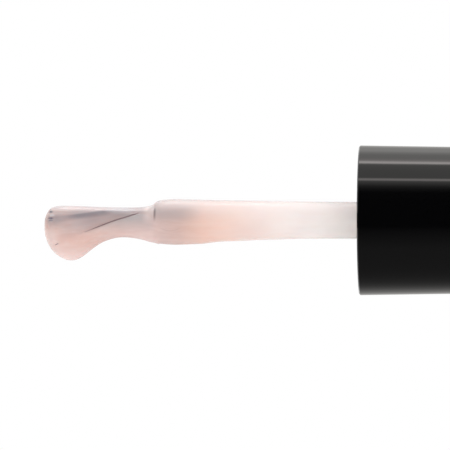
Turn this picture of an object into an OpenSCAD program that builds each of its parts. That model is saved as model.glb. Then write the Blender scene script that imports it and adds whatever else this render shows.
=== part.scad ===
// Brush-tip gloss tube with a screw cap.
// Z runs up the common axis of tube and cap; the origin is the centre of the tube's base.
// The cap and its wand are drawn lifted straight out of the tube, thread released.

/* [Tube] */
// Outer diameter of the barrel
tube_d = 16; // [15.5:0.1:17]
// Height from the base to the shoulder
tube_h = 40; // [39:0.5:44]
// Diameter of the well that holds the gloss
well_d = 11.6; // [11.2:0.2:12]
// Thickness of the floor under the well
floor_t = 3.6; // [3:0.2:4.4]
// Height of the gloss above the base
fill_level = 30; // [20:1:33]

/* [Neck and thread] */
// Height of the neck above the shoulder
neck_h = 11; // [11:0.1:11.4]
// Diameter of the neck wall between the threads
neck_d = 10.9; // [10.8:0.05:11]
// Diameter over the neck thread
thread_d = 12.1; // [12:0.05:12.2]
// Diameter of the hole through the neck
neck_bore_d = 9; // [8.8:0.1:9.1]
// Rise of the thread in one turn
pitch = 2.6; // [2.6:0.05:2.7]
// Turns from closed to released
cap_turns = 1.5; // [1.5:0.1:1.5]

/* [Wiper] */
// Diameter of the hole that the wand passes
wiper_hole_d = 5.8; // [5.8:0.1:6.2]
// Diameter of the wiper's upper cup
wiper_cup_d = 7.4; // [7.2:0.1:7.6]

/* [Cap] */
// Diameter of the cap at its rim
cap_d = 16; // [15.8:0.1:16.4]
// Height of the cap
cap_h = 36; // [32:1:42]
// Draft of the cap's side, in degrees
cap_draft = 0.88; // [0.4:0.02:0.9]
// Wall of the cap's top
cap_top_t = 1.4; // [1.2:0.1:2]
// Gap between the closed cap's rim and the shoulder
rim_gap = 0.3; // [0.2:0.05:0.5]

/* [Wand] */
// Diameter of the stem
stem_d = 3.9; // [3.5:0.1:4]
// Length of the stem below the cap's rim
stem_len = 21.9; // [18:0.1:24]
// Length of the bristles below the stem
bristle_len = 11.5; // [10:0.1:12]
// Diameter of the bristles' hole in the stem
stem_bore_d = 2.8; // [2.4:0.1:2.8]
// Depth of the bristles' hole
stem_bore_depth = 4.2; // [4:0.2:6]

/* [Display] */
// Travel from the released thread to the wand clear of the neck
draw_travel = 49; // [46:1:56]

/* [Hidden] */
$fn = 96;

rise = pitch * cap_turns;                    // axial travel of the thread
rim_closed = tube_h + rim_gap;               // height of the closed cap's rim
rim_z = rim_closed + rise + draw_travel;     // height of the rim as drawn
neck_top = tube_h + neck_h;
flange_t = 0.7;                              // wiper flange on the neck's rim
washer_t = 1;
play = 0.05;                                 // gap at each face of the clamped washer
// heights inside the cap, measured from its rim
skirt_z = 1.2;
ceiling_z = neck_top + flange_t + washer_t + 2 * play - rim_closed;
plate_t = 1.4;
plate_z = ceiling_z + plate_t;
socket_z = ceiling_z - 6.2;
head_t = 1.2;
weight_t = 4.5;
weight_z = plate_z + head_t + 0.1;
ledge_z = weight_z + weight_t + 0.1;
washer_z = neck_top + flange_t + play - rim_closed - rise;
skirt_od = 14;
skirt_id = 12.6;
socket_d = 6.6;
root_d = 4.4;
ridge_h = (thread_d - neck_d) / 2;
neck_thread_z = neck_top - 5.3;              // centre of the neck thread's lower end
cap_thread_z = neck_thread_z - 0.8 - rim_closed;   // it pulls up on the neck thread's underside

// ---- helpers ----

// a ridge of trapezoid section wound as a right-handed helix; out = 1 outwards, -1 inwards
module helix_ridge(r_root, r_crest, z0, turns, base_w, crest_w, step = 10) {
    n = ceil(turns * 360 / step);
    sink = (r_crest > r_root) ? -0.2 : 0.2;
    function ease(i) = min(1, min(i, n - i) / 3);
    function sec(i) = let (a = i * turns * 360 / n, e = ease(i),
            rc = r_root + (r_crest - r_root) * max(0.02, e),
            z = z0 + pitch * a / 360)
        [for (p = [[r_root + sink, -base_w / 2], [rc, -crest_w / 2], [rc, crest_w / 2], [r_root + sink, base_w / 2]])
            [p[0] * cos(a), p[0] * sin(a), z + p[1]]];
    pts = [for (i = [0:n]) each sec(i)];
    side = [for (i = [0:n - 1], k = [0:3]) let (a = 4 * i + k, b = 4 * i + (k + 1) % 4)
            each [[a, b, b + 4], [a, b + 4, a + 4]]];
    ends = [[3, 2, 1], [3, 1, 0], [4 * n, 4 * n + 1, 4 * n + 2], [4 * n, 4 * n + 2, 4 * n + 3]];
    f = concat(side, ends);
    polyhedron(pts, r_crest > r_root ? f : [for (t = f) [t[2], t[1], t[0]]]);
}

// one elliptic ring: s = [z, x middle, x half width, y half width]
function ring(s, n) = [for (k = [0:n - 1]) let (a = 360 * k / n)
    [s[1] + s[2] * cos(a), s[3] * sin(a), s[0]]];

// a solid lofted through rings from the top down
module loft(rows, n) {
    m = len(rows);
    pts = [for (r = rows) each ring(r, n)];
    side = [for (i = [0:m - 2], k = [0:n - 1]) let (a = i * n + k, b = i * n + (k + 1) % n)
            each [[a, b, b + n], [a, b + n, a + n]]];
    top = [for (k = [1:n - 2]) [0, k + 1, k]];
    low = [for (k = [1:n - 2]) [(m - 1) * n, (m - 1) * n + k, (m - 1) * n + k + 1]];
    polyhedron(pts, [for (t = concat(side, top, low)) [t[2], t[1], t[0]]]);
}

// a skin between an outer and an inner loft, open at the top, and at the bottom too when through is true
module skin(outer, inner, n, through) {
    m = len(outer);
    q = len(inner);
    pts = concat([for (r = outer) each ring(r, n)], [for (r = inner) each ring(r, n)]);
    b0 = m * n;
    c0 = (m - 1) * n;
    d0 = b0 + (q - 1) * n;
    so = [for (i = [0:m - 2], k = [0:n - 1]) let (a = i * n + k, b = i * n + (k + 1) % n)
            each [[a, b, b + n], [a, b + n, a + n]]];
    si = [for (i = [0:q - 2], k = [0:n - 1]) let (a = b0 + i * n + k, b = b0 + i * n + (k + 1) % n)
            each [[a, b + n, b], [a, a + n, b + n]]];
    lip = [for (k = [0:n - 1]) let (a = k, b = (k + 1) % n) each [[a, b0 + b, b], [a, b0 + a, b0 + b]]];
    foot = [for (k = [0:n - 1]) let (a = k, b = (k + 1) % n)
            each [[c0 + a, c0 + b, d0 + b], [c0 + a, d0 + b, d0 + a]]];
    caps = [for (k = [1:n - 2]) each [[c0, c0 + k, c0 + k + 1], [d0, d0 + k + 1, d0 + k]]];
    polyhedron(pts, [for (t = concat(so, si, lip, through ? foot : caps)) [t[2], t[1], t[0]]]);
}

// ---- tube ----

module tube_body() {
    r = tube_d / 2;
    color([0.93, 0.95, 0.96, 0.3])
    difference() {
        union() {
            rotate_extrude()
                polygon([[0, 0.25], [5.9, 0.25], [6.1, 0], [r - 0.8, 0], [r - 0.24, 0.24], [r, 0.8],
                         [r, tube_h - 0.5], [r - 0.15, tube_h - 0.15], [r - 0.5, tube_h],
                         [neck_d / 2 + 0.3, tube_h], [neck_d / 2, tube_h + 0.3],
                         [neck_d / 2, neck_top - 0.2], [neck_d / 2 - 0.2, neck_top], [0, neck_top]]);
            helix_ridge(neck_d / 2, thread_d / 2, neck_thread_z, 1.25, 1.3, 0.5);
        }
        // well, its shoulder, the neck hole and the groove for the wiper's bead
        rotate_extrude()
            polygon([[0, floor_t], [well_d / 2 - 3.2, floor_t], [well_d / 2 - 1.2, floor_t + 0.55],
                     [well_d / 2 - 0.3, floor_t + 1.9], [well_d / 2, floor_t + 3.4],
                     [well_d / 2, tube_h - 3.6], [well_d / 2 - 0.3, tube_h - 2.9],
                     [neck_bore_d / 2, tube_h - 1.6], [neck_bore_d / 2, neck_top - 6.2],
                     [neck_bore_d / 2 + 0.2, neck_top - 6], [neck_bore_d / 2 + 0.2, neck_top - 5.6],
                     [neck_bore_d / 2, neck_top - 5.4], [neck_bore_d / 2, neck_top + 1], [0, neck_top + 1]]);
    }
}

module wiper() {
    o = neck_bore_d / 2;
    c = wiper_cup_d / 2;
    h = wiper_hole_d / 2;
    t = neck_top;
    color([0.92, 0.9, 0.88, 0.8])
    rotate_extrude()
        polygon([[c, t + flange_t - 0.15], [c + 0.15, t + flange_t], [neck_d / 2 - 0.25, t + flange_t],
                 [neck_d / 2 - 0.1, t + flange_t - 0.15], [neck_d / 2 - 0.1, t], [o, t],
                 [o, t - 5.45], [o + 0.15, t - 5.7], [o + 0.15, t - 5.9], [o, t - 6.15],
                 [o, t - 7], [h + 0.5, t - 8.9], [h + 0.35, t - 9.1], [h, t - 8.9], [h, t - 8.3],
                 [c, t - 5.3]]);
}

module gloss_fill() {
    r = well_d / 2 - 0.03;
    z = floor_t + 0.03;
    color([0.93, 0.76, 0.7])
    rotate_extrude()
        polygon([[0, z], [r - 3.2, z], [r - 1.2, z + 0.55], [r - 0.3, z + 1.9], [r, z + 3.4],
                 [r, fill_level + 0.3], [r - 0.3, fill_level + 0.05], [r - 0.9, fill_level], [0, fill_level]]);
}

module base_label() {
    color([0.96, 0.96, 0.95])
    translate([0, 0, 0.1]) cylinder(d = 11.2, h = 0.15);
}

// ---- cap ----

module outer_cap() {
    k = tan(cap_draft);
    r0 = cap_d / 2;
    r1 = r0 - cap_h * k;
    color([0.02, 0.02, 0.02])
    translate([0, 0, rim_z])
    difference() {
        rotate_extrude()
            polygon([[0, 0], [r0 - 0.12, 0], [r0, 0.12], [r1 + 0.5 * k, cap_h - 0.5], [r1 - 0.06, cap_h - 0.25],
                     [r1 - 0.2, cap_h - 0.08], [r1 - 0.5, cap_h], [0, cap_h]]);
        translate([0, 0, -1]) cylinder(d = skirt_od, h = plate_z + 1);
        translate([0, 0, -0.01]) cylinder(d1 = skirt_od + 0.8, d2 = skirt_od, h = skirt_z - 0.3);
        translate([0, 0, plate_z - 0.01]) cylinder(d = 12.9, h = ledge_z - plate_z + 0.01);
        translate([0, 0, ledge_z - 0.01]) cylinder(d = 11.8, h = cap_h - cap_top_t - ledge_z + 0.01);
    }
}

module inner_cap() {
    color([0.05, 0.05, 0.05])
    translate([0, 0, rim_z])
    difference() {
        union() {
            difference() {
                union() {
                    translate([0, 0, skirt_z]) cylinder(d = skirt_od - 0.3, h = plate_z - skirt_z);
                    // press ribs that hold it in the outer cap
                    for (a = [0:30:330])
                        rotate([0, 0, a]) translate([skirt_od / 2 - 0.6, -0.4, skirt_z + 0.6])
                            cube([0.57, 0.8, plate_z - skirt_z - 1.2]);
                }
                translate([0, 0, skirt_z - 1]) cylinder(d = skirt_id, h = ceiling_z - skirt_z + 1);
            }
            translate([0, 0, socket_z]) cylinder(d = socket_d, h = ceiling_z - socket_z + 0.2);
            rotate([0, 0, 360 * cap_turns])
                helix_ridge(skirt_id / 2, skirt_id / 2 - ridge_h, cap_thread_z, 1, 1.3, 0.5);
        }
        translate([0, 0, socket_z - 1]) cylinder(d = root_d, h = plate_z - socket_z + 2);
        translate([0, 0, plate_z - 0.3]) cylinder(d = 7.6, h = 1);
    }
}

module seal_washer() {
    color([0.88, 0.88, 0.86])
    translate([0, 0, rim_z + washer_z])
    difference() {
        cylinder(d = 12.2, h = washer_t);
        translate([0, 0, -1]) cylinder(d = 6.9, h = washer_t + 2);
    }
}

module cap_weight() {
    color([0.6, 0.61, 0.63])
    translate([0, 0, rim_z + weight_z])
    rotate_extrude()
        polygon([[0, 0], [5.9, 0], [6.2, 0.3], [6.2, weight_t - 0.3], [5.9, weight_t], [0, weight_t]]);
}

// ---- wand ----

module stem() {
    r = stem_d / 2;
    color([0.93, 0.9, 0.88])
    translate([0, 0, rim_z])
    difference() {
        rotate_extrude()
            polygon([[0, -stem_len], [r - 0.32, -stem_len], [r - 0.1, -stem_len + 0.1], [r - 0.02, -stem_len + 0.35],
                     [r, -stem_len + 2], [r, socket_z - 0.5], [root_d / 2, socket_z], [root_d / 2, plate_z - 0.3],
                     [3.6, plate_z - 0.3], [3.7, plate_z - 0.2], [3.7, plate_z + head_t - 0.3],
                     [3.4, plate_z + head_t], [0, plate_z + head_t]]);
        translate([0, 0, -stem_len - 1]) cylinder(d = stem_bore_d, h = stem_bore_depth + 1);
    }
}

// U-shaped wire that the bristles are folded over, seated in the end of the stem's hole
module bristle_anchor() {
    w = 0.5;
    l = stem_bore_d - 0.3;
    color([0.72, 0.6, 0.35])
    translate([0, 0, rim_z - stem_len + stem_bore_depth - 0.05]) {
        difference() {
            union() {
                translate([-l / 2, 0, -w / 2]) rotate([0, 90, 0]) cylinder(d = w, h = l);
                for (s = [-1, 1]) translate([s * (l / 2 - w / 2), 0, -1.6]) cylinder(d = w, h = 1.6 - w / 2);
            }
            for (s = [-1, 1]) translate([s * (l / 2 + 0.1), 0, 0]) cube([0.2, 2, 2], center = true);
        }
    }
}

// rows: [depth below the stem's end, x middle, x half width, y half width]
tuft_rows = [
    [0, 0, 1.32, 1.3], [1.5, 0.05, 1.4, 1.15], [3.5, 0.1, 1.45, 1],
    [5.5, 0.2, 1.6, 0.95], [7.5, 0.35, 1.8, 0.9], [9.2, 0.5, 1.95, 0.85], [10.4, 0.55, 1.85, 0.75],
    [11.1, 0.55, 1.45, 0.55], [11.5, 0.5, 0.7, 0.3]];
tuft_root = [for (t = [-2.4, -0.3]) [t, 0, stem_bore_d / 2 - 0.1, stem_bore_d / 2 - 0.1]];
k_len = bristle_len / 11.5;
function below(r, grow = 0) = [rim_z - stem_len - r[0] * (r[0] > 0 ? k_len : 1), r[1], r[2] + grow, r[3] + grow];

module bristles() {
    color([0.16, 0.15, 0.16])
        loft([for (r = concat(tuft_root, tuft_rows)) below(r)], 20);
}

// gloss carried out on the stem: rows hold the coat's thickness on the stem's two half widths
coat_rows = [
    [-14, 0, 0.1, 0.1], [-11, 0.02, 0.12, 0.12], [-8, 0.05, 0.22, 0.2], [-5, 0.12, 0.38, 0.3],
    [-3.2, 0.14, 0.47, 0.35], [-1.6, 0.1, 0.48, 0.35], [-0.6, 0.08, 0.39, 0.3], [0, 0.14, 0.2, 0.16]];

module gloss_coat() {
    color([0.95, 0.78, 0.72])
        skin([for (r = coat_rows) below([r[0], r[1], r[2], r[3]], stem_d / 2)],
             [for (r = coat_rows) below([r[0], 0, 0.03, 0.03], stem_d / 2)], 20, true);
}

// gloss carried out on the bristles: thin along one side, a heavy drop on the other
load_rows = [
    [0.04, 0.16, 2.12, 2.08], [0.5, 0.22, 1.93, 1.95], [1.5, 0.2, 1.74, 1.7], [2.6, 0.1, 1.64, 1.55],
    [3.7, 0.1, 1.65, 1.48], [4.8, 0.19, 1.78, 1.46], [5.8, 0.36, 2.02, 1.5], [6.8, 0.68, 2.37, 1.62],
    [7.8, 1.05, 2.76, 1.76], [8.8, 1.17, 2.92, 1.84], [9.7, 1.1, 2.88, 1.78], [10.4, 0.96, 2.7, 1.6],
    [10.9, 0.72, 2.36, 1.36], [11.35, 0.54, 1.84, 1.05], [11.65, 0.46, 1.2, 0.68], [11.83, 0.42, 0.5, 0.28]];

module gloss_load() {
    color([0.95, 0.78, 0.72])
        skin([for (r = load_rows) below(r)],
             [for (r = tuft_rows) below([r[0] + 0.04, r[1], r[2], r[3]], 0.05)], 20, false);
}

tube_body();
wiper();
gloss_fill();
base_label();
seal_washer();
cap_weight();
outer_cap();
inner_cap();
stem();
bristle_anchor();
gloss_coat();
bristles();
gloss_load();
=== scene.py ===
import math
import random

import bpy
from mathutils import Matrix, Vector, noise


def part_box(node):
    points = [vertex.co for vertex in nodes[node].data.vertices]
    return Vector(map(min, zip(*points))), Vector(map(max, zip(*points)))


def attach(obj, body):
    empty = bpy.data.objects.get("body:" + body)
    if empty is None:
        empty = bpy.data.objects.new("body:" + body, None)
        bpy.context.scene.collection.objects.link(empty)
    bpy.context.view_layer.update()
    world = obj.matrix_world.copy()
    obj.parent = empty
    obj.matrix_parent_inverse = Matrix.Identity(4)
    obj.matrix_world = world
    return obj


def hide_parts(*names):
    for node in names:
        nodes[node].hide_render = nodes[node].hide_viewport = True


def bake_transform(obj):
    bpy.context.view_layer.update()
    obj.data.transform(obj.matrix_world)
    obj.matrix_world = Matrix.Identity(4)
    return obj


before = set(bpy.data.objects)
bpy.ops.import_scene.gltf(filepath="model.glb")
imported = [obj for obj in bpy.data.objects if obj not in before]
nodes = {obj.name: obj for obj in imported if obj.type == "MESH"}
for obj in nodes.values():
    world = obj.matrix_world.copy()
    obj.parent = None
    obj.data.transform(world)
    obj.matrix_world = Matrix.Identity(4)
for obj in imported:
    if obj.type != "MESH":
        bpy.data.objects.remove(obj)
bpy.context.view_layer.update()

MM = 0.001
scene = bpy.context.scene
scene.view_settings.view_transform = "Standard"
scene.view_settings.look = "None"

# ---- places, all read from the frame ----
rim_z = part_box("outer_cap")[0].z
cap_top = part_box("outer_cap")[1].z
stem_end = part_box("stem")[0].z
neck_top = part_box("tube_body")[1].z
fill_lo, fill_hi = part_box("gloss_fill")
well_r = fill_hi.x
wiper_lo, wiper_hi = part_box("wiper")
tube_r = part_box("tube_body")[1].x


# ---- node helpers ----
def new_mat(name):
    m = bpy.data.materials.new(name)
    m.use_nodes = True
    nt = m.node_tree
    nt.nodes.clear()
    out = nt.nodes.new("ShaderNodeOutputMaterial")
    p = nt.nodes.new("ShaderNodeBsdfPrincipled")
    nt.links.new(p.outputs[0], out.inputs[0])
    return m, nt, p


def node(nt, kind, ins=None, **props):
    n = nt.nodes.new(kind)
    for k, v in props.items():
        setattr(n, k, v)
    for k, v in (ins or {}).items():
        if isinstance(v, bpy.types.NodeSocket):
            nt.links.new(v, n.inputs[k])
        else:
            n.inputs[k].default_value = v
    return n


def coords(nt, scale=(1, 1, 1)):
    tc = nt.nodes.new("ShaderNodeTexCoord")
    mp = node(nt, "ShaderNodeMapping", {"Vector": tc.outputs["Object"], "Scale": scale})
    return mp.outputs[0]


def noise_tex(nt, vec, scale, detail=3.0, rough=0.5, distortion=0.0):
    return node(nt, "ShaderNodeTexNoise", {"Vector": vec, "Scale": scale, "Detail": detail,
                                           "Roughness": rough, "Distortion": distortion}).outputs[0]


def math_node(nt, op, a, b=0.0, c=0.0, clamp=False):
    n = nt.nodes.new("ShaderNodeMath")
    n.operation = op
    n.use_clamp = clamp
    for i, v in enumerate((a, b, c)):
        if isinstance(v, bpy.types.NodeSocket):
            nt.links.new(v, n.inputs[i])
        else:
            n.inputs[i].default_value = v
    return n.outputs[0]


def remap(nt, v, a0, a1, b0, b1, smooth=False):
    n = nt.nodes.new("ShaderNodeMapRange")
    n.interpolation_type = "SMOOTHSTEP" if smooth else "LINEAR"
    nt.links.new(v, n.inputs["Value"])
    for k, x in zip(("From Min", "From Max", "To Min", "To Max"), (a0, a1, b0, b1)):
        n.inputs[k].default_value = x
    return n.outputs["Result"]


def ramp(nt, v, stops, interp="LINEAR"):
    n = nt.nodes.new("ShaderNodeValToRGB")
    n.color_ramp.interpolation = interp
    e = n.color_ramp.elements
    while len(e) < len(stops):
        e.new(0.5)
    for el, (pos, col) in zip(e, stops):
        el.position = pos
    for el, (pos, col) in zip(e, stops):
        el.color = (*col, 1) if len(col) == 3 else col
    nt.links.new(v, n.inputs[0])
    return n.outputs[0]


def mix_rgb(nt, fac, a, b, mode="MIX"):
    n = nt.nodes.new("ShaderNodeMix")
    n.data_type = "RGBA"
    n.blend_type = mode
    for sock, v in ((n.inputs[0], fac), (n.inputs[6], a), (n.inputs[7], b)):
        if isinstance(v, bpy.types.NodeSocket):
            nt.links.new(v, sock)
        else:
            sock.default_value = v if not isinstance(v, tuple) or len(v) == 4 else (*v, 1)
    return n.outputs[2]


def bump(nt, height, dist, strength=1.0, normal=None):
    n = node(nt, "ShaderNodeBump", {"Height": height, "Distance": dist, "Strength": strength})
    if normal is not None:
        nt.links.new(normal, n.inputs["Normal"])
    return n.outputs[0]


def axis_z(nt, lo, hi):
    """0 at height lo, 1 at height hi, on the row's own Z."""
    tc = nt.nodes.new("ShaderNodeTexCoord")
    s = node(nt, "ShaderNodeSeparateXYZ", {0: tc.outputs["Object"]})
    return remap(nt, s.outputs[2], lo, hi, 0.0, 1.0)


def use(name, material):
    o = nodes[name]
    if o.data.materials:
        o.data.materials[0] = material
    else:
        o.data.materials.append(material)
    for i in range(1, len(o.data.materials)):
        o.data.materials[i] = material


# ---- materials ----
def make_cap_black():
    m, nt, p = new_mat("cap_black_gloss")
    v = coords(nt)
    p.inputs["Base Color"].default_value = (0.0012, 0.0012, 0.0014, 1)
    mottled = noise_tex(nt, v, 700, 4)
    haze = noise_tex(nt, coords(nt, (1, 1, 0.25)), 260, 2)
    r = math_node(nt, "ADD", remap(nt, mottled, 0.35, 0.75, 0.0, 0.03), remap(nt, haze, 0.4, 0.7, 0.03, 0.06))
    nt.links.new(r, p.inputs["Roughness"])
    wave = noise_tex(nt, coords(nt, (1, 1, 0.35)), 190, 1)
    fine = noise_tex(nt, v, 2600, 2)
    b = bump(nt, wave, 0.000004)
    b = bump(nt, fine, 0.00000035, normal=b)
    nt.links.new(b, p.inputs["Normal"])
    p.inputs["IOR"].default_value = 1.5
    return m


def make_inner_black():
    m, nt, p = new_mat("cap_inner_satin")
    v = coords(nt)
    n1 = noise_tex(nt, v, 1500, 4)
    nt.links.new(ramp(nt, n1, [(0.3, (0.004, 0.004, 0.0045)), (0.75, (0.009, 0.009, 0.01))]), p.inputs["Base Color"])
    nt.links.new(remap(nt, n1, 0.3, 0.7, 0.28, 0.42), p.inputs["Roughness"])
    nt.links.new(bump(nt, noise_tex(nt, v, 5200, 2), 0.000003), p.inputs["Normal"])
    return m


def make_stem():
    m, nt, p = new_mat("stem_milky_plastic")
    v = coords(nt, (1, 1, 0.2))
    n1 = noise_tex(nt, v, 900, 3)
    along = axis_z(nt, stem_end, rim_z)
    base = ramp(nt, along, [(0.0, (0.84, 0.68, 0.63)), (0.2, (0.95, 0.78, 0.72)), (0.45, (0.99, 0.88, 0.84)),
                            (0.6, (0.99, 0.92, 0.89)), (0.85, (1.0, 0.925, 0.905)), (1.0, (1.0, 0.92, 0.895))])
    base = mix_rgb(nt, remap(nt, n1, 0.35, 0.7, 0.0, 0.18), base, (0.95, 0.9, 0.87))
    # the knot of bristles inside the bore greys the light side of the stem's end; the dark line at the stem's end is
    # painted shade
    tc = nt.nodes.new("ShaderNodeTexCoord")
    s = node(nt, "ShaderNodeSeparateXYZ", {0: tc.outputs["Object"]})
    x, z = s.outputs[0], s.outputs[2]
    wob = remap(nt, noise_tex(nt, coords(nt, (1, 1, 0.3)), 520, 2), 0.3, 0.7, -0.25 * MM, 0.25 * MM)
    xw = math_node(nt, "ADD", x, wob)
    knot = math_node(nt, "MULTIPLY", remap(nt, z, stem_end + 2.4 * MM, stem_end + 4.8 * MM, 1.0, 0.0, smooth=True),
                     math_node(nt, "MULTIPLY", remap(nt, xw, -1.75 * MM, -1.0 * MM, 0.0, 1.0, smooth=True),
                               remap(nt, xw, -0.1 * MM, 0.75 * MM, 1.0, 0.0, smooth=True)))
    base = mix_rgb(nt, math_node(nt, "MULTIPLY", knot, 0.6), base, (0.36, 0.32, 0.33))
    # painted shade: a dark line along the stem's end
    shadow_line = math_node(nt, "MULTIPLY", remap(nt, z, stem_end + 0.06 * MM, stem_end + 0.24 * MM, 1.0, 0.0, smooth=True),
                     remap(nt, x, -0.6 * MM, 0.6 * MM, 1.0, 0.0, smooth=True))
    base = mix_rgb(nt, math_node(nt, "MULTIPLY", shadow_line, 0.8), base, (0.05, 0.035, 0.04))
    nt.links.new(base, p.inputs["Base Color"])
    nt.links.new(remap(nt, noise_tex(nt, v, 2200, 3), 0.3, 0.7, 0.16, 0.26), p.inputs["Roughness"])
    p.inputs["Subsurface Weight"].default_value = 0.2
    p.inputs["Subsurface Radius"].default_value = (1.0, 0.8, 0.7)
    p.inputs["Subsurface Scale"].default_value = 0.0010
    p.inputs["Alpha"].default_value = 0.42
    nt.links.new(bump(nt, noise_tex(nt, coords(nt, (1, 1, 0.1)), 3000, 2), 0.000004), p.inputs["Normal"])
    return m


def make_gel():
    m, nt, p = new_mat("gel_coat")
    tc = nt.nodes.new("ShaderNodeTexCoord")
    s = node(nt, "ShaderNodeSeparateXYZ", {0: tc.outputs["Object"]})
    z, x = s.outputs[2], s.outputs[0]
    streak = noise_tex(nt, coords(nt, (1.0, 1.0, 0.12)), 1500, 4, 0.6, 0.4)
    cloud = noise_tex(nt, coords(nt, (1, 1, 0.5)), 420, 2)
    along = remap(nt, z, stem_end - 12 * MM, stem_end + 20 * MM, 0.0, 1.0)
    base = ramp(nt, along, [(0.0, (0.84, 0.57, 0.50)), (0.14, (0.82, 0.55, 0.48)), (0.24, (0.78, 0.56, 0.51)),
                            (0.37, (0.78, 0.56, 0.52)), (0.40, (0.72, 0.54, 0.50)), (0.46, (0.735, 0.52, 0.46)), (0.54, (0.93, 0.625, 0.515)),
                            (0.62, (1.0, 0.745, 0.645)), (0.72, (1.0, 0.83, 0.78)), (0.88, (0.99, 0.925, 0.905)), (1.0, (1.0, 0.93, 0.90))])
    base = mix_rgb(nt, remap(nt, streak, 0.45, 0.75, 0.0, 0.35), base, (0.97, 0.80, 0.74))
    base = mix_rgb(nt, remap(nt, cloud, 0.35, 0.65, 0.0, 0.25), base, (0.80, 0.58, 0.53))
    # painted light: the upper side of the coat is lightened towards a whitish tint, most at the edge
    side = remap(nt, x, -2.2 * MM, 4.6 * MM, 0.0, 1.0)
    painted_top_light = ramp(nt, side, [(0.0, (0.8, 0.8, 0.8)), (0.12, (0.55, 0.55, 0.55)), (0.19, (0.35, 0.35, 0.35)), (0.34, (0.0, 0.0, 0.0)),
                           (1.0, (0.0, 0.0, 0.0))])
    top_light_tint = mix_rgb(nt, remap(nt, z, stem_end - 1.6 * MM, stem_end + 0.2 * MM, 0.0, 1.0, smooth=True), (0.74, 0.74, 0.76), (0.87, 0.79, 0.78))
    base = mix_rgb(nt, painted_top_light, base, top_light_tint)
    # painted light: the lower edge of the drop is lightened
    base = mix_rgb(nt, remap(nt, x, 2.5 * MM, 4.6 * MM, 0.0, 0.5), base, (0.96, 0.86, 0.85))
    # milky gloss over the dark fan of bristles reads cooler and greyer, above the slanting side of the fan
    slant = math_node(nt, "MULTIPLY_ADD", math_node(nt, "SUBTRACT", stem_end, z), 0.29, -1.05 * MM)
    over = remap(nt, math_node(nt, "SUBTRACT", x, slant), -1.15 * MM, 0.95 * MM, 1.0, 0.0, smooth=True)
    tip = remap(nt, z, stem_end - 11.2 * MM, stem_end - 7.4 * MM, 0.05, 1.0, smooth=True)
    neck = remap(nt, z, stem_end - 1.5 * MM, stem_end - 0.6 * MM, 1.0, 0.0, smooth=True)
    grey = math_node(nt, "MULTIPLY", math_node(nt, "MULTIPLY", over, tip), neck)
    lit_end = math_node(nt, "MULTIPLY", remap(nt, z, stem_end - 10.2 * MM, stem_end - 8.4 * MM, 1.0, 0.0, smooth=True),
                        remap(nt, x, -1.0 * MM, -0.4 * MM, 0.8, 0.0, smooth=True))
    grey = math_node(nt, "MULTIPLY", grey, math_node(nt, "SUBTRACT", 1.0, lit_end))
    base = mix_rgb(nt, math_node(nt, "MULTIPLY", grey, 0.85), base, (0.64, 0.545, 0.545))
    # the darkest band runs a little inside the straight side of the fan, and drops towards the tip
    depth_in = math_node(nt, "SUBTRACT", stem_end, z)
    off = math_node(nt, "ADD", math_node(nt, "MULTIPLY_ADD", depth_in, -0.13, x), 1.52 * MM)
    band = math_node(nt, "MULTIPLY", remap(nt, off, -0.36 * MM, -0.12 * MM, 0.0, 1.0, smooth=True),
                     remap(nt, off, 0.0 * MM, 0.5 * MM, 1.0, 0.0, smooth=True))
    band = math_node(nt, "MULTIPLY", band, math_node(nt, "MULTIPLY", remap(nt, depth_in, 3.9 * MM, 5.6 * MM, 0.25, 1.0, smooth=True),
                                                     remap(nt, depth_in, 7.8 * MM, 10.6 * MM, 1.0, 0.1, smooth=True)))
    base = mix_rgb(nt, math_node(nt, "MULTIPLY", math_node(nt, "MULTIPLY", band, neck), 0.8), base, (0.32, 0.29, 0.32))
    shade = math_node(nt, "MULTIPLY", remap(nt, math_node(nt, "SUBTRACT", x, slant), -0.2 * MM, 0.45 * MM, 1.0, 0.0, smooth=True),
                      remap(nt, off, -0.3 * MM, 0.1 * MM, 0.0, 1.0, smooth=True))
    shade = math_node(nt, "MULTIPLY", shade, math_node(nt, "MULTIPLY", remap(nt, depth_in, 2.9 * MM, 4.2 * MM, 0.2, 1.0, smooth=True),
                                                       remap(nt, depth_in, 6.2 * MM, 8.6 * MM, 1.0, 0.15, smooth=True)))
    base = mix_rgb(nt, math_node(nt, "MULTIPLY", shade, 0.42), base, (0.40, 0.315, 0.31))
    # painted light: a whitish strip along the upper side a little past the stem's end
    root_light = math_node(nt, "MULTIPLY", remap(nt, depth_in, 1.8 * MM, 3.0 * MM, 0.0, 1.0, smooth=True),
                           remap(nt, depth_in, 4.0 * MM, 5.6 * MM, 1.0, 0.0, smooth=True))
    root_light = math_node(nt, "MULTIPLY", root_light, remap(nt, x, -1.0 * MM, -0.6 * MM, 1.0, 0.0, smooth=True))
    base = mix_rgb(nt, math_node(nt, "MULTIPLY", root_light, 0.4), base, (0.70, 0.70, 0.72))
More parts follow.
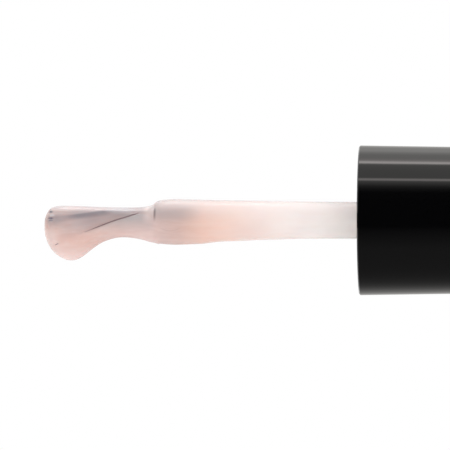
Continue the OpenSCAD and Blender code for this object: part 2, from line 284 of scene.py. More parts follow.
    # the very tips of the bristles darken the corner where they come close to the surface
    corner = math_node(nt, "MULTIPLY", remap(nt, depth_in, 8.8 * MM, 10.6 * MM, 0.0, 1.0, smooth=True),
                       math_node(nt, "MULTIPLY", remap(nt, x, -0.85 * MM, -0.3 * MM, 0.0, 1.0, smooth=True),
                                 remap(nt, x, -0.1 * MM, 1.1 * MM, 1.0, 0.0, smooth=True)))
    corner = math_node(nt, "MULTIPLY", corner, remap(nt, depth_in, 11.1 * MM, 11.7 * MM, 1.0, 0.45, smooth=True))
    base = mix_rgb(nt, math_node(nt, "MULTIPLY", corner, 0.72), base, (0.40, 0.365, 0.385))
    # painted shade that dims the top edge near the tip, where the highlight falls
    nose_shade = math_node(nt, "MULTIPLY", remap(nt, depth_in, 8.6 * MM, 10.2 * MM, 0.0, 1.0, smooth=True),
                     remap(nt, x, -1.25 * MM, -0.95 * MM, 1.0, 0.0, smooth=True))
    base = mix_rgb(nt, math_node(nt, "MULTIPLY", nose_shade, 0.4), base, (0.52, 0.49, 0.49))
    # painted light on the lower side of the tip
    end_painted_light = math_node(nt, "MULTIPLY", remap(nt, depth_in, 9.6 * MM, 11.4 * MM, 0.0, 1.0, smooth=True),
                         remap(nt, x, 0.3 * MM, 1.6 * MM, 0.0, 1.0, smooth=True))
    base = mix_rgb(nt, math_node(nt, "MULTIPLY", end_painted_light, 0.42), base, (0.97, 0.85, 0.82))

    def spot(dc, xc, sd, sx, k, col):
        """A small soft mark painted into the colour: dark where one bristle tip nearly touches the surface, light for a
        painted highlight.
        """
        u = math_node(nt, "MULTIPLY", math_node(nt, "SUBTRACT", depth_in, dc * MM), 1 / (sd * MM))
        v = math_node(nt, "MULTIPLY", math_node(nt, "SUBTRACT", x, xc * MM), 1 / (sx * MM))
        r = math_node(nt, "SQRT", math_node(nt, "ADD", math_node(nt, "MULTIPLY", u, u), math_node(nt, "MULTIPLY", v, v)))
        return mix_rgb(nt, remap(nt, r, 0.25, 1.0, k, 0.0, smooth=True), base, col)

    base = spot(11.12, -0.9, 0.34, 0.2, 0.7, (0.22, 0.22, 0.25))
    base = spot(11.12, -0.22, 0.42, 0.16, 0.75, (0.20, 0.18, 0.25))
    base = spot(11.1, 0.03, 0.36, 0.09, 0.7, (0.22, 0.19, 0.24))
    # painted highlight between the tip marks
    base = spot(10.95, -0.55, 0.4, 0.16, 0.5, (0.80, 0.81, 0.85))
    # the stem's end: pale throat outside it, lightened on its upper side by painted light, greyer coat over the bristle
    # knot, and a dark line of painted shade at the edge between them
    under = math_node(nt, "MULTIPLY", remap(nt, z, stem_end - 7.0 * MM, stem_end - 3.2 * MM, 0.0, 1.0, smooth=True),
                      remap(nt, z, stem_end - 0.6 * MM, stem_end + 0.3 * MM, 1.0, 0.0, smooth=True))
    under = math_node(nt, "MULTIPLY", under, math_node(nt, "MULTIPLY", remap(nt, x, -1.0 * MM, -0.3 * MM, 0.0, 1.0, smooth=True),
                                                       remap(nt, x, 0.4 * MM, 1.5 * MM, 1.0, 0.0, smooth=True)))
    base = mix_rgb(nt, math_node(nt, "MULTIPLY", under, 0.6), base, (0.54, 0.43, 0.41))
    gather = math_node(nt, "MULTIPLY", remap(nt, z, stem_end - 5.2 * MM, stem_end - 2.4 * MM, 0.0, 1.0, smooth=True),
                       remap(nt, z, stem_end - 1.5 * MM, stem_end - 0.6 * MM, 1.0, 0.0, smooth=True))
    gather = math_node(nt, "MULTIPLY", gather, math_node(nt, "MULTIPLY", remap(nt, x, -0.95 * MM, -0.55 * MM, 0.0, 1.0, smooth=True),
                                                         remap(nt, x, -0.3 * MM, 0.7 * MM, 1.0, 0.0, smooth=True)))
    base = mix_rgb(nt, math_node(nt, "MULTIPLY", gather, 0.62), base, (0.34, 0.315, 0.32))
    # painted light: the throat is lightened only on its upper side
    light = remap(nt, x, -1.0 * MM, 0.0 * MM, 1.0, 0.0, smooth=True)
    half = remap(nt, x, -0.9 * MM, 0.5 * MM, 1.0, 0.0, smooth=True)
    throat = math_node(nt, "MULTIPLY", remap(nt, z, stem_end - 1.5 * MM, stem_end - 0.6 * MM, 0.0, 1.0, smooth=True),
                       remap(nt, z, stem_end - 0.12 * MM, stem_end + 0.02 * MM, 1.0, 0.0, smooth=True))
    base = mix_rgb(nt, math_node(nt, "MULTIPLY", throat, math_node(nt, "MULTIPLY", light, 0.45)), base, (0.90, 0.82, 0.79))
    knot = math_node(nt, "MULTIPLY", remap(nt, z, stem_end, stem_end + 0.1 * MM, 0.0, 1.0),
                     remap(nt, z, stem_end + 2.8 * MM, stem_end + 5.6 * MM, 1.0, 0.0, smooth=True))
    knot = math_node(nt, "MULTIPLY", knot, math_node(nt, "MULTIPLY", half, remap(nt, x, -1.8 * MM, -1.1 * MM, 0.0, 1.0, smooth=True)))
    base = mix_rgb(nt, math_node(nt, "MULTIPLY", knot, 0.5), base, (0.52, 0.46, 0.46))
    # painted shade: a dark line along the stem's end
    shadow_line = math_node(nt, "MULTIPLY", remap(nt, z, stem_end - 0.08 * MM, stem_end + 0.0 * MM, 0.0, 1.0),
                     remap(nt, z, stem_end + 0.05 * MM, stem_end + 0.3 * MM, 1.0, 0.0, smooth=True))
    shadow_line = math_node(nt, "MULTIPLY", shadow_line, math_node(nt, "MULTIPLY", remap(nt, x, -0.7 * MM, 0.3 * MM, 1.0, 0.0, smooth=True),
                                                     remap(nt, x, -1.5 * MM, -1.0 * MM, 0.0, 1.0, smooth=True)))
    base = mix_rgb(nt, math_node(nt, "MULTIPLY", shadow_line, 0.62), base, (0.14, 0.10, 0.11))
    # a faint darker arc in the coat's colour beside the knot
    ax = math_node(nt, "ADD", x, 0.75 * MM)
    az = math_node(nt, "SUBTRACT", z, stem_end + 1.76 * MM)
    far = math_node(nt, "SQRT", math_node(nt, "ADD", math_node(nt, "MULTIPLY", ax, ax), math_node(nt, "MULTIPLY", az, az)))
    faint_arc = math_node(nt, "MULTIPLY", remap(nt, math_node(nt, "ABSOLUTE", math_node(nt, "SUBTRACT", far, 1.87 * MM)), 0.0, 0.11 * MM, 1.0, 0.0, smooth=True),
                     remap(nt, ax, 1.5 * MM, 1.72 * MM, 0.0, 1.0, smooth=True))
    base = mix_rgb(nt, math_node(nt, "MULTIPLY", faint_arc, 0.17), base, (0.42, 0.31, 0.29))
    depth = remap(nt, z, stem_end + 9 * MM, stem_end + 19 * MM, 0.0, 1.0)
    base = mix_rgb(nt, 1.0, base, ramp(nt, depth, [(0.0, (0.895, 0.895, 0.905)), (1.0, (1.0, 1.0, 1.0))]), "MULTIPLY")
    nt.links.new(base, p.inputs["Base Color"])
    # opaque where it hangs thick, only a film towards the cap
    thick = remap(nt, z, stem_end + 6 * MM, stem_end + 17 * MM, 1.0, 0.0, smooth=True)
    down = remap(nt, x, -1.6 * MM, 2.4 * MM, 0.58, 0.8, smooth=True)
    # seen edge-on it is solid: along the light side, round the end and under the drop
    rim = remap(nt, z, stem_end - 0.8 * MM, stem_end + 0.2 * MM, 1.45 * MM, 2.2 * MM)
    edge = remap(nt, math_node(nt, "ADD", x, rim), 0.15 * MM, 0.6 * MM, 1.0, 0.0, smooth=True)
    edge = math_node(nt, "MULTIPLY", edge, remap(nt, z, stem_end - 0.8 * MM, stem_end + 0.4 * MM, 1.0, 0.2))
    edge = math_node(nt, "MAXIMUM", edge, remap(nt, depth_in, 11.1 * MM, 11.7 * MM, 0.0, 0.9, smooth=True))
    edge = math_node(nt, "MAXIMUM", edge, remap(nt, x, 3.0 * MM, 4.0 * MM, 0.0, 0.8, smooth=True))
    solid = math_node(nt, "MULTIPLY_ADD", edge, math_node(nt, "SUBTRACT", 0.95, down), down)
    a = math_node(nt, "MULTIPLY_ADD", math_node(nt, "SUBTRACT", solid, 0.38), thick, 0.38)
    nt.links.new(a, p.inputs["Alpha"])
    nt.links.new(math_node(nt, "DIVIDE", math_node(nt, "MULTIPLY", down, 0.5), solid), p.inputs["Specular IOR Level"])
    nt.links.new(remap(nt, cloud, 0.3, 0.7, 0.05, 0.09), p.inputs["Roughness"])
    p.inputs["IOR"].default_value = 1.47
    p.inputs["Subsurface Weight"].default_value = 0.3
    p.inputs["Subsurface Radius"].default_value = (1.0, 0.6, 0.5)
    p.inputs["Subsurface Scale"].default_value = 0.0010
    smear = noise_tex(nt, coords(nt, (1.0, 1.0, 0.05)), 900, 2)
    b = bump(nt, smear, 0.000005)
    nt.links.new(b, p.inputs["Normal"])
    return m


def make_bristle():
    m, nt, p = new_mat("bristle_filament")
    at = node(nt, "ShaderNodeAttribute", attribute_name="tone", attribute_type="GEOMETRY")
    n1 = noise_tex(nt, coords(nt, (1, 1, 0.3)), 1800, 2)
    t = math_node(nt, "ADD", at.outputs["Fac"], remap(nt, n1, 0.3, 0.7, -0.1, 0.1))
    stray = remap(nt, at.outputs["Fac"], 1.8, 2.2, 0.0, 1.0)
    stray_tone = remap(nt, at.outputs["Fac"], 2.3, 3.0, 0.0, 1.0)
    base = ramp(nt, t, [(0.0, (0.010, 0.008, 0.012)), (0.15, (0.05, 0.052, 0.08)), (0.4, (0.20, 0.19, 0.24)),
                        (0.7, (0.46, 0.38, 0.39)), (1.0, (0.76, 0.60, 0.56))])
    # the root: darkened with painted shade inside the stem, a ring of painted shade at its mouth, then soaked pale with
    # gloss
    along = axis_z(nt, stem_end - 3.0 * MM, stem_end + 3.0 * MM)
    root = ramp(nt, along, [(0.0, (0, 0, 0)), (0.30, (0.0, 0.0, 0.0)), (0.37, (0.75, 0.75, 0.75)), (0.47, (0.85, 0.85, 0.85)),
                            (0.487, (0, 0, 0)), (1.0, (0, 0, 0))])
    mouth_and_bore_shade = ramp(nt, along, [(0.0, (0, 0, 0)), (0.487, (0, 0, 0)), (0.495, (1, 1, 1)), (0.507, (1, 1, 1)),
                            (0.52, (0.3, 0.3, 0.3)), (1.0, (0.3, 0.3, 0.3))])
    base = mix_rgb(nt, root, base, (0.78, 0.62, 0.58))
    base = mix_rgb(nt, mouth_and_bore_shade, base, (0.03, 0.026, 0.03))
    base = mix_rgb(nt, stray, base, ramp(nt, stray_tone, [(0.0, (0.13, 0.075, 0.085)), (0.85, (0.40, 0.30, 0.30)), (1.0, (0.66, 0.49, 0.46))]))
    nt.links.new(base, p.inputs["Base Color"])
    nt.links.new(remap(nt, n1, 0.3, 0.7, 0.25, 0.4), p.inputs["Roughness"])
    return m


def make_clear():
    m, nt, p = new_mat("tube_clear_plastic")
    v = coords(nt, (1, 1, 0.3))
    p.inputs["Base Color"].default_value = (0.86, 0.875, 0.88, 1)
    p.inputs["Transmission Weight"].default_value = 1.0
    p.inputs["IOR"].default_value = 1.45
    n1 = noise_tex(nt, v, 600, 3)
    nt.links.new(remap(nt, n1, 0.35, 0.75, 0.0, 0.035), p.inputs["Roughness"])
    nt.links.new(bump(nt, noise_tex(nt, v, 150, 1), 0.000006), p.inputs["Normal"])
    return m


def make_wiper():
    m, nt, p = new_mat("wiper_natural_plastic")
    v = coords(nt)
    n1 = noise_tex(nt, v, 900, 3)
    nt.links.new(ramp(nt, n1, [(0.3, (0.86, 0.83, 0.80)), (0.7, (0.93, 0.90, 0.88))]), p.inputs["Base Color"])
    nt.links.new(remap(nt, n1, 0.3, 0.7, 0.2, 0.36), p.inputs["Roughness"])
    p.inputs["Subsurface Weight"].default_value = 0.4
    p.inputs["Subsurface Radius"].default_value = (1.0, 0.85, 0.8)
    p.inputs["Subsurface Scale"].default_value = 0.0012
    p.inputs["Alpha"].default_value = 0.82
    nt.links.new(bump(nt, noise_tex(nt, v, 4000, 2), 0.000003), p.inputs["Normal"])
    return m


def make_fill():
    m, nt, p = new_mat("gloss_fill_gel")
    v = coords(nt, (1, 1, 0.35))
    n1 = noise_tex(nt, v, 220, 3, 0.55, 0.6)
    nt.links.new(ramp(nt, n1, [(0.3, (0.95, 0.66, 0.58)), (0.55, (0.96, 0.70, 0.63)), (0.75, (0.97, 0.76, 0.70))]),
                 p.inputs["Base Color"])
    nt.links.new(remap(nt, n1, 0.3, 0.7, 0.05, 0.12), p.inputs["Roughness"])
    p.inputs["Subsurface Weight"].default_value = 0.7
    p.inputs["Subsurface Radius"].default_value = (1.0, 0.5, 0.4)
    p.inputs["Subsurface Scale"].default_value = 0.003
    p.inputs["IOR"].default_value = 1.47
    nt.links.new(bump(nt, noise_tex(nt, v, 420, 2), 0.00002), p.inputs["Normal"])
    return m


def make_label():
    m, nt, p = new_mat("label_coated_paper")
    v = coords(nt)
    n1 = noise_tex(nt, v, 3500, 5, 0.65)
    nt.links.new(ramp(nt, n1, [(0.3, (0.84, 0.84, 0.82)), (0.7, (0.93, 0.93, 0.92))]), p.inputs["Base Color"])
    nt.links.new(remap(nt, n1, 0.3, 0.7, 0.42, 0.6), p.inputs["Roughness"])
    nt.links.new(bump(nt, n1, 0.000006), p.inputs["Normal"])
    return m


def make_foam():
    m, nt, p = new_mat("washer_foam")
    v = coords(nt)
    cells = node(nt, "ShaderNodeTexVoronoi", {"Vector": v, "Scale": 5200.0}).outputs["Distance"]
    nt.links.new(ramp(nt, cells, [(0.0, (0.72, 0.72, 0.70)), (0.5, (0.88, 0.88, 0.86))]), p.inputs["Base Color"])
    p.inputs["Roughness"].default_value = 0.75
    nt.links.new(bump(nt, cells, 0.00003), p.inputs["Normal"])
    return m


def make_steel():
    m, nt, p = new_mat("weight_turned_steel")
    v = coords(nt, (1, 1, 14))
    n1 = noise_tex(nt, v, 900, 4)
    nt.links.new(ramp(nt, n1, [(0.3, (0.42, 0.43, 0.45)), (0.7, (0.62, 0.63, 0.65))]), p.inputs["Base Color"])
    p.inputs["Metallic"].default_value = 1.0
    nt.links.new(remap(nt, n1, 0.3, 0.7, 0.22, 0.4), p.inputs["Roughness"])
    nt.links.new(bump(nt, n1, 0.000004), p.inputs["Normal"])
    return m


def make_wire():
    m, nt, p = new_mat("anchor_drawn_wire")
    n1 = noise_tex(nt, coords(nt, (0.2, 1, 1)), 4000, 3)
    nt.links.new(ramp(nt, n1, [(0.3, (0.55, 0.42, 0.22)), (0.7, (0.78, 0.62, 0.36))]), p.inputs["Base Color"])
    p.inputs["Metallic"].default_value = 1.0
    nt.links.new(remap(nt, n1, 0.3, 0.7, 0.2, 0.35), p.inputs["Roughness"])
    return m


use("outer_cap", make_cap_black())
use("inner_cap", make_inner_black())
use("stem", make_stem())
use("tube_body", make_clear())
use("wiper", make_wiper())
use("seal_washer", make_foam())
use("cap_weight", make_steel())
use("bristle_anchor", make_wire())
ease_in = nodes["wiper"].modifiers.new("clearance", "DISPLACE")
ease_in.strength = -0.008 * MM
ease_in.mid_level = 0.0
gel_mat = make_gel()
fill_mat = make_fill()
bristle_mat = make_bristle()

for name in ("outer_cap", "inner_cap", "stem", "tube_body", "wiper", "seal_washer", "cap_weight"):
    o = nodes[name]
    for poly in o.data.polygons:
        poly.use_smooth = True
    o.data.set_sharp_from_angle(angle=math.radians(38))


# ---- geometry helpers ----
def add_mesh(name, verts, faces, material):
    me = bpy.data.meshes.new(name)
    me.from_pydata(verts, [], faces)
    me.materials.append(material)
    for poly in me.polygons:
        poly.use_smooth = True
    me.validate()
    me.update()
    o = bpy.data.objects.new(name, me)
    scene.collection.objects.link(o)
    return o


def spline(rows, n):
    """n rows evenly spaced along a smooth curve through rows of numbers."""
    P = [list(map(float, r)) for r in rows]
    P = [[2 * a - b for a, b in zip(P[0], P[1])]] + P + [[2 * a - b for a, b in zip(P[-1], P[-2])]]
    fine = []
    for i in range(1, len(P) - 2):
        p0, p1, p2, p3 = P[i - 1:i + 3]
        for k in range(24):
            t = k / 24
            fine.append([0.5 * (2 * b + (c - a) * t + (2 * a - 5 * b + 4 * c - d) * t * t
                                + (3 * b - a - 3 * c + d) * t ** 3) for a, b, c, d in zip(p0, p1, p2, p3)])
    fine.append(P[-2])
    length = [0.0]
    for a, b in zip(fine, fine[1:]):
        length.append(length[-1] + math.dist(a, b))
    out, j = [], 0
    for i in range(n):
        want = length[-1] * i / (n - 1)
        while j < len(length) - 2 and length[j + 1] < want:
            j += 1
        seg = max(1e-12, length[j + 1] - length[j])
        t = min(1.0, max(0.0, (want - length[j]) / seg))
        out.append([a + (b - a) * t for a, b in zip(fine[j], fine[j + 1])])
    return out


# ---- gloss on the wand: depth below the stem's end, edge on the light side, edge on the heavy side, half thickness ----
coat_rows = [
    (-23.0, -1.97, 1.97, 1.97), (-21.5, -1.975, 1.975, 1.975), (-18.0, -1.99, 1.985, 1.985), (-15.5, -2.03, 2.0, 1.99), (-13.4, -2.06, 2.06, 2.0), (-11.3, -2.09, 2.1, 2.03),
    (-9.2, -2.12, 2.2, 2.06), (-7.0, -2.15, 2.29, 2.12), (-4.9, -2.19, 2.52, 2.2), (-2.4, -2.27, 2.62, 2.27),
    (-1.3, -2.23, 2.58, 2.26), (-0.65, -2.16, 2.52, 2.2), (-0.3, -2.06, 2.53, 2.1), (-0.05, -1.93, 2.46, 2.0),
    (0.18, -1.7, 2.4, 1.9), (0.6, -1.54, 2.32, 1.8),
    (1.5, -1.4, 2.06, 1.66), (2.6, -1.37, 1.87, 1.5), (3.7, -1.39, 1.83, 1.43), (4.7, -1.4, 2.01, 1.42),
    (5.8, -1.41, 2.44, 1.45), (6.9, -1.46, 3.2, 1.54), (7.9, -1.5, 3.96, 1.66), (8.7, -1.54, 4.28, 1.74),
    (9.5, -1.56, 4.24, 1.74), (10.2, -1.55, 3.93, 1.66), (10.8, -1.46, 3.48, 1.5), (11.25, -1.26, 2.95, 1.28),
    (11.6, -0.8, 2.25, 0.95), (11.82, -0.25, 1.55, 0.55), (11.9, 0.65, 0.72, 0.02)]


def make_gloss_on_wand():
    rows = spline(coat_rows, 170)
    n = 60
    verts, faces = [], []
    for i, (d, lo, hi, ty) in enumerate(rows):
        xm, hx = (lo + hi) / 2, (hi - lo) / 2
        z = stem_end - d * MM
        wob = min(1.0, max(0.0, (d + 12) / 8)) * min(1.0, max(0.0, (11.6 - d) / 1.5)) * 0.7
        for k in range(n):
            a = 2 * math.pi * k / n
            c, s = math.cos(a), math.sin(a)
            q = Vector((c * 1.3, s * 1.3, d * 0.35))
            r = 1 + 0.012 * wob * noise.noise(q)
            verts.append(((xm + hx * c * r) * MM, ty * s * r * MM, z))
    for i in range(len(rows) - 1):
        for k in range(n):
            a, b = i * n + k, i * n + (k + 1) % n
            faces.append((a, a + n, b + n, b))
    faces.append(tuple(range(n)))
    last = (len(rows) - 1) * n
    faces.append(tuple(last + k for k in reversed(range(n))))
    return add_mesh("gloss_on_wand", verts, faces, gel_mat)


gloss = make_gloss_on_wand()
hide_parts("gloss_coat", "gloss_load")


# ---- bristles ----
def make_bristles():
    rng = random.Random(7)
    verts, faces, tones = [], [], []

    def ease(t):
        t = min(1.0, max(0.0, t))
        return t * t * (3 - 2 * t)

    def tube(path, radii, sides, tone):
        base = len(verts)
        m = len(path)
        for i, p in enumerate(path):
            a, b = path[max(0, i - 1)], path[min(m - 1, i + 1)]
            t = (Vector(b) - Vector(a)).normalized()
            u = t.orthogonal().normalized() if abs(t.x) > 0.99 else t.cross(Vector((1, 0, 0))).normalized()
            w = t.cross(u)
            for k in range(sides):
                ang = 2 * math.pi * k / sides
                verts.append(tuple(Vector(p) + radii[i] * (u * math.cos(ang) + w * math.sin(ang))))
                tones.append(tone[i] if isinstance(tone, list) else tone)
        for i in range(m - 1):
            for k in range(sides):
                a, b = base + i * sides + k, base + i * sides + (k + 1) % sides
                faces.append((a, b, b + sides, a + sides))
        faces.append(tuple(base + k for k in reversed(range(sides))))
        e = base + (m - 1) * sides
        faces.append(tuple(e + k for k in range(sides)))

    hair = spline([(-2.6, 0.12), (0.0, 0.18), (0.5, -0.3), (1.2, -0.86), (2.2, -0.62), (3.2, -0.3), (4.3, 0.03), (5.3, 0.41),
                   (6.4, 0.84), (8.0, 1.49), (9.75, 2.25), (10.6, 2.62), (11.4, 2.95)], 200)

    def low_edge(d):
        for (d0, x0), (d1, x1) in zip(hair, hair[1:]):
            if d <= d1:
                return x0 + (x1 - x0) * min(1.0, max(0.0, (d - d0) / (d1 - d0)))
        return hair[-1][1]

    def high_edge(d):
        return -0.98 - 0.04 * max(0.0, d - 4) / 5

    count = 340
    for i in range(count):
        u = (i + 0.5) / count
        g = u ** 1.5                      # 0 along the straight side of the fan, 1 along its slanting side
        ang = rng.uniform(0, 2 * math.pi)
        y0 = math.sqrt(rng.random()) * math.sin(ang)
        wide = 0.95 * math.sqrt(max(0.05, 1 - (2 * u - 1) ** 2))
        g2 = min(1.0, max(0.0, g + 0.05 * rng.uniform(-1, 1)))
        end = 11.3 - 0.95 * max(0, g - 0.5) / 0.5 - 0.3 * rng.random() - 0.4 * (1 - g) ** 6
        pts, n = [], 13
        for k in range(n):
            d = -2.35 + (end + 2.35) * k / (n - 1)
            open_up = min(1.0, max(0.0, (d - 0.6) / 3.0))
            share = u * (1 - open_up) + g2 * open_up
            x = high_edge(d) + (low_edge(d) - high_edge(d)) * share
            y = y0 * (wide * (1 - open_up) + (0.82 - 0.3 * g) * open_up)
            pts.append((x * MM, y * MM, stem_end - d * MM))
        rad0 = 0.034 + 0.008 * rng.random()
        radii = [rad0 * MM] * (n - 3) + [rad0 * 0.85 * MM, rad0 * 0.6 * MM, rad0 * 0.3 * MM]
        lift = 0.06 * rng.uniform(-1, 1)
        tones_along = []
        for k in range(n):
            d = -2.35 + (end + 2.35) * k / (n - 1)
            tones_along.append(0.12 + 0.5 * ease(g / 0.4) + 0.3 * g + 0.5 * ease((d - 8.3) / 2.7) + lift)
        tube(pts, radii, 5, tones_along)
    # the stray dark hair along the slanting side, and a few tips that darken the end of the tuft
    shape = spline(coat_rows, 240)

    def skin_y(d, x):
        row = min(shape, key=lambda q: abs(q[0] - d))
        across = (x - (row[1] + row[2]) / 2) / ((row[2] - row[1]) / 2)
        return -row[3] * math.sqrt(max(0.05, 1 - across * across))

    path = [p for p in hair if 1.2 <= p[0] <= 10.7][::4]
    m = len(path)
    pts, radii = [], []
    for d, x in path:
        proud = 0.03 * ease((d - 1.3) / 0.8)
        sunk = 0.1 * ease((d - 7.3) / 1.0) * ease((10.3 - d) / 0.2)
        pts.append((x * MM, (skin_y(d, x) + 0.045 - 2 * proud + sunk) * MM, stem_end - d * MM))
        radii.append((0.026 + 0.028 * ease((d - 1.3) / 1.1) * ease((8.2 - d) / 3.5) + 0.02 * ease((d - 10.2) / 0.2)) * MM)
    tube(pts, radii, 7, [2.4 + 0.4 * ease((2.1 - d) / 1.0) + 0.62 * ease((d - 6.2) / 1.6) * ease((10.25 - d) / 0.2)
                         + 0.15 * ease((d - 10.1) / 0.2) for d, x in path])
    for x, d0, d1, under in ((-0.98, 10.8, 11.3, 0.05), (-0.86, 10.9, 11.35, 0.04), (-0.32, 10.8, 11.45, 0.04), (-0.2, 10.7, 11.4, 0.05),
                             (0.0, 10.9, 11.45, 0.04)):
        pts = []
        for t in (0, 0.33, 0.66, 1):
            d = d0 + (d1 - d0) * t
            pts.append(((x + 0.05 * t) * MM, (skin_y(d, x) + under + 0.03) * MM, stem_end - d * MM))
        tube(pts, [0.03 * MM, 0.07 * MM, 0.075 * MM, 0.05 * MM], 8, 0.38)
    o = add_mesh("bristle_filaments", verts, faces, bristle_mat)
    at = o.data.attributes.new("tone", "FLOAT", "POINT")
    at.data.foreach_set("value", tones)
    return o


bristles = make_bristles()
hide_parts("bristles")

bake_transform(gloss)
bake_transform(bristles)


# ---- gloss in the tube ----
def lathe(name, profile, material, n=72, shape=None):
    verts, faces = [], []
    m = len(profile)
    for i, (r, z) in enumerate(profile):
        for k in range(n):
            a = 2 * math.pi * k / n
            rr, zz = shape(r, z, a) if shape else (r, z)
            verts.append((rr * math.cos(a), rr * math.sin(a), zz))
    for i in range(m - 1):
        for k in range(n):
            a, b = i * n + k, i * n + (k + 1) % n
            faces.append((a, b, b + n, a + n))
    faces.append(tuple(reversed(range(n))))
    faces.append(tuple((m - 1) * n + k for k in range(n)))
    return add_mesh(name, verts, faces, material)


def make_fill_mesh():
    r, lo, top = well_r + 0.045 * MM, fill_lo.z - 0.015 * MM, fill_hi.z
    prof = [(0.02 * MM, lo), (r - 4.2 * MM, lo), (r - 3.2 * MM, lo + 0.02 * MM), (r - 2.2 * MM, lo + 0.22 * MM),
            (r - 1.2 * MM, lo + 0.55 * MM), (r - 0.7 * MM, lo + 1.15 * MM), (r - 0.3 * MM, lo + 1.9 * MM),
            (r - 0.08 * MM, lo + 2.7 * MM), (r, lo + 3.4 * MM)]
    for k in range(1, 12):
        prof.append((r, lo + 3.4 * MM + (top - lo - 3.6 * MM) * k / 11))
    prof += [(r - 0.05 * MM, top - 0.02 * MM), (r - 0.14 * MM, top - 0.1 * MM), (r - 0.3 * MM, top - 0.2 * MM),
             (r - 0.6 * MM, top - 0.3 * MM), (r - 1.2 * MM, top - 0.36 * MM), (r - 2.4 * MM, top - 0.38 * MM),
             (r - 3.6 * MM, top - 0.42 * MM), (r - 4.5 * MM, top - 0.6 * MM), (r - 5.2 * MM, top - 0.8 * MM),
             (0.05 * MM, top - 0.86 * MM)]

    def shape(r0, z0, a):
        if z0 > top - 0.15 * MM and r0 > r - 0.2 * MM:
            tide = noise.noise(Vector((math.cos(a) * 1.6, math.sin(a) * 1.6, 7.7))) + 0.45 * noise.noise(Vector((math.cos(a) * 4, math.sin(a) * 4, 1.3)))
            z0 += (0.5 + 1.5 * max(0.0, tide)) * MM * (1.0 if r0 > r - 0.06 * MM else 0.5)
        elif z0 > top - 1.2 * MM:
            k = min(1.0, r0 / well_r)
            z0 += 0.16 * MM * noise.noise(Vector((math.cos(a) * 1.2 * k, math.sin(a) * 1.2 * k, 3.1)))
        return r0, z0

    return lathe("gloss_in_tube", prof, fill_mat, 72, shape)


def make_label_mesh():
    """A round paper label with a slightly worn edge, wetted onto the plastic of the base."""
    lo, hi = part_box("base_label")
    r = hi.x
    prof = [(0.04 * MM, lo.z), (r * 0.35, lo.z), (r * 0.7, lo.z), (r - 0.09 * MM, lo.z + 0.002 * MM), (r - 0.02 * MM, lo.z + 0.02 * MM),
            (r, lo.z + 0.06 * MM), (r, hi.z - 0.03 * MM), (r - 0.02 * MM, hi.z + 0.004 * MM), (r * 0.6, hi.z + 0.012 * MM), (0.04 * MM, hi.z + 0.012 * MM)]

    def worn(r0, z0, a):
        if r0 > r - 0.1 * MM:
            r0 -= 0.035 * MM * max(0.0, noise.noise(Vector((math.cos(a) * 5, math.sin(a) * 5, 2.2))))
        return r0, z0

    return lathe("label_on_base", prof, make_label(), 96, worn)


label = make_label_mesh()
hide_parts("base_label")
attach(label, "tube")

fill = make_fill_mesh()
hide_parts("gloss_fill")
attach(fill, "tube")


# ---- floor, camera, light ----
def make_floor():
    low = -0.06 * MM              # a hair below the base, so that the two faces never share a plane
    verts, faces = [(0, 0, low)], []
    n, rings = 96, 14
    for i in range(1, rings + 1):
        r = 0.36 * (i / rings) ** 1.3
        for k in range(n):
            a = 2 * math.pi * k / n
            verts.append((r * math.cos(a), r * math.sin(a), low))
    for k in range(n):
        faces.append((0, 1 + k, 1 + (k + 1) % n))
    for i in range(rings - 1):
        for k in range(n):
            a, b = 1 + i * n + k, 1 + i * n + (k + 1) % n
            faces.append((a, a + n, b + n, b))
    m, nt, p = new_mat("studio_floor")
    nt.links.new(ramp(nt, noise_tex(nt, coords(nt), 40, 3), [(0.3, (0.90, 0.90, 0.90)), (0.7, (0.93, 0.93, 0.93))]),
                 p.inputs["Base Color"])
    p.inputs["Roughness"].default_value = 0.6
    o = add_mesh("studio_floor_disc", verts, faces, m)
    return o


floor = make_floor()

PX = 0.107 * MM          # width of one pixel at the object
DIST = 0.6
TILT = math.radians(3.56)  # the camera stands a little towards the cap, so that its rim hides the mouth
cam_data = bpy.data.cameras.new("camera")
cam_data.sensor_width = 36
cam_data.lens = 36 * DIST / (450 * PX)
cam_data.clip_start, cam_data.clip_end = 0.02, 20
cam = bpy.data.objects.new("camera", cam_data)
scene.collection.objects.link(cam)
aim = Vector((0.50 * MM, 0, rim_z - 134.6 * PX))
back = Vector((0, -math.cos(TILT), math.sin(TILT)))
up = Vector((-1, 0, 0))
right = up.cross(back)
place = aim + back * DIST
cam.matrix_world = Matrix((
    (right.x, up.x, back.x, place.x),
    (right.y, up.y, back.y, place.y),
    (right.z, up.z, back.z, place.z),
    (0, 0, 0, 1)))
scene.camera = cam


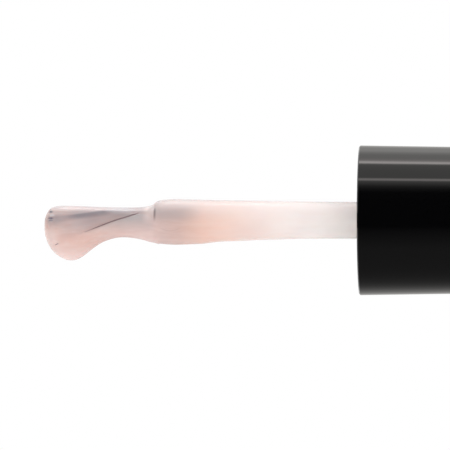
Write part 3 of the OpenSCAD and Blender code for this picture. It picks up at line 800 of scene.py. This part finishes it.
def make_world():
    w = bpy.data.worlds.new("studio")
    scene.world = w
    w.use_nodes = True
    w.cycles.sampling_method = "NONE"
    nt = w.node_tree
    nt.nodes.clear()
    out = nt.nodes.new("ShaderNodeOutputWorld")
    bg = nt.nodes.new("ShaderNodeBackground")
    nt.links.new(bg.outputs[0], out.inputs[0])
    tc = nt.nodes.new("ShaderNodeTexCoord")
    s = node(nt, "ShaderNodeSeparateXYZ", {0: tc.outputs["Generated"]})
    ang = math_node(nt, "ARCTAN2", s.outputs[0], math_node(nt, "MULTIPLY", s.outputs[1], -1.0))
    pos = math_node(nt, "MULTIPLY_ADD", ang, 1 / (2 * math.pi), 0.5)
    # brightness of the studio round the object, by angle from the camera's side: negative towards -X
    stops = [(-180, 0.7), (-150, 0.78), (-136, 1.25), (-122, 1.15), (-113, 1.4), (-108, 1.85), (-105, 2.5), (-102.6, 4.5), (-99.8, 4.8),
             (-97.6, 1.5), (-95, 1.0), (-84, 0.95), (-69, 0.98), (-67, 3.1), (-65, 3.1), (-63.2, 0.95), (-59, 0.6),
             (-54, 0.22), (-49, 0.08), (-44, 0.01), (-30, 0.0), (9, 0.0), (17, 0.05), (45, 0.155),
             (84, 0.16), (97, 0.175), (111, 0.22), (120, 0.29), (130, 0.42), (141, 0.58), (159, 0.72), (180, 0.7)]
    top = 6.0
    glossy = ramp(nt, pos, [((a + 180) / 360, (v / top, v / top * (0.94 if v > 1.6 else 0.985), v / top * (0.92 if v > 1.6 else 0.955)))
                            for a, v in stops])
    glossy = mix_rgb(nt, 1.0, glossy, (top, top, top), "MULTIPLY")
    # softer, more even light for everything that isn't a mirror reflection
    soft = ramp(nt, remap(nt, s.outputs[0], -1.0, 1.0, 0.0, 1.0),
                [(0.0, (0.63, 0.63, 0.63)), (0.5, (0.60, 0.60, 0.60)), (1.0, (0.63, 0.63, 0.63))])
    soft = mix_rgb(nt, 1.0, soft, (2.0, 2.0, 2.0), "MULTIPLY")
    lp = nt.nodes.new("ShaderNodeLightPath")
    # light that has come through clear plastic: bright all round, greyer towards the ground
    clear = ramp(nt, remap(nt, s.outputs[2], -1.0, 1.0, 0.0, 1.0),
                 [(0.0, (0.40, 0.40, 0.402)), (0.3, (0.72, 0.72, 0.722)), (0.5, (0.89, 0.89, 0.893)), (1.0, (1.0, 1.0, 1.0))])
    clear = mix_rgb(nt, 1.0, clear, (1.2, 1.2, 1.2), "MULTIPLY")
    col = mix_rgb(nt, lp.outputs["Is Glossy Ray"], soft, glossy)
    col = mix_rgb(nt, lp.outputs["Is Transmission Ray"], col, clear)
    col = mix_rgb(nt, lp.outputs["Is Camera Ray"], col, (1.0, 1.0, 1.0))
    nt.links.new(col, bg.inputs[0])
    bg.inputs[1].default_value = 1.0


make_world()


def area(name, place, aim, size, power):
    d = bpy.data.lights.new(name, "AREA")
    d.shape = "RECTANGLE"
    d.size, d.size_y = size
    d.energy = power
    o = bpy.data.objects.new(name, d)
    scene.collection.objects.link(o)
    o.location = place
    o.rotation_mode = "QUATERNION"
    o.rotation_quaternion = (Vector(aim) - Vector(place)).to_track_quat("-Z", "Y")
    o.visible_glossy = False
    o.visible_camera = False
    return o


mid = Vector((0, 0, rim_z))
area("key_soft", (-0.45, -0.12, rim_z + 0.35), mid, (0.5, 0.5), 0.9)


def softbox_for(name, angle, spread, length, dist, radiance, pieces):
    """A softbox seen only as a reflection, and only in the named pieces; angle is measured as in the studio above."""
    a = math.radians(angle)
    centre = Vector((0, 0, stem_end + 4 * MM))
    place = centre + Vector((math.sin(a), -math.cos(a), 0)) * dist
    width = 2 * dist * math.tan(math.radians(spread) / 2)
    d = bpy.data.lights.new(name, "AREA")
    d.shape = "RECTANGLE"
    d.size, d.size_y = width, length
    d.energy = radiance * math.pi * width * length
    o = bpy.data.objects.new(name, d)
    scene.collection.objects.link(o)
    z = (place - centre).normalized()
    y = Vector((0, 0, 1))
    x = y.cross(z)
    o.matrix_world = Matrix(((x.x, y.x, z.x, place.x), (x.y, y.y, z.y, place.y), (x.z, y.z, z.z, place.z), (0, 0, 0, 1)))
    o.visible_diffuse = False
    o.visible_camera = False
    lit = bpy.data.collections.new(name + "_lights")
    for q in pieces:
        lit.objects.link(q)
    o.light_linking.receiver_collection = lit
    return o


softbox_for("strip_on_wand", -105, 9, 0.3, 0.4, 2.2, [gloss])
softbox_for("overhead_on_wand", -108, 34, 0.3, 0.4, 1.15, [gloss])
softbox_for("edge_on_wand", -80, 20, 0.3, 0.4, 0.9, [gloss])
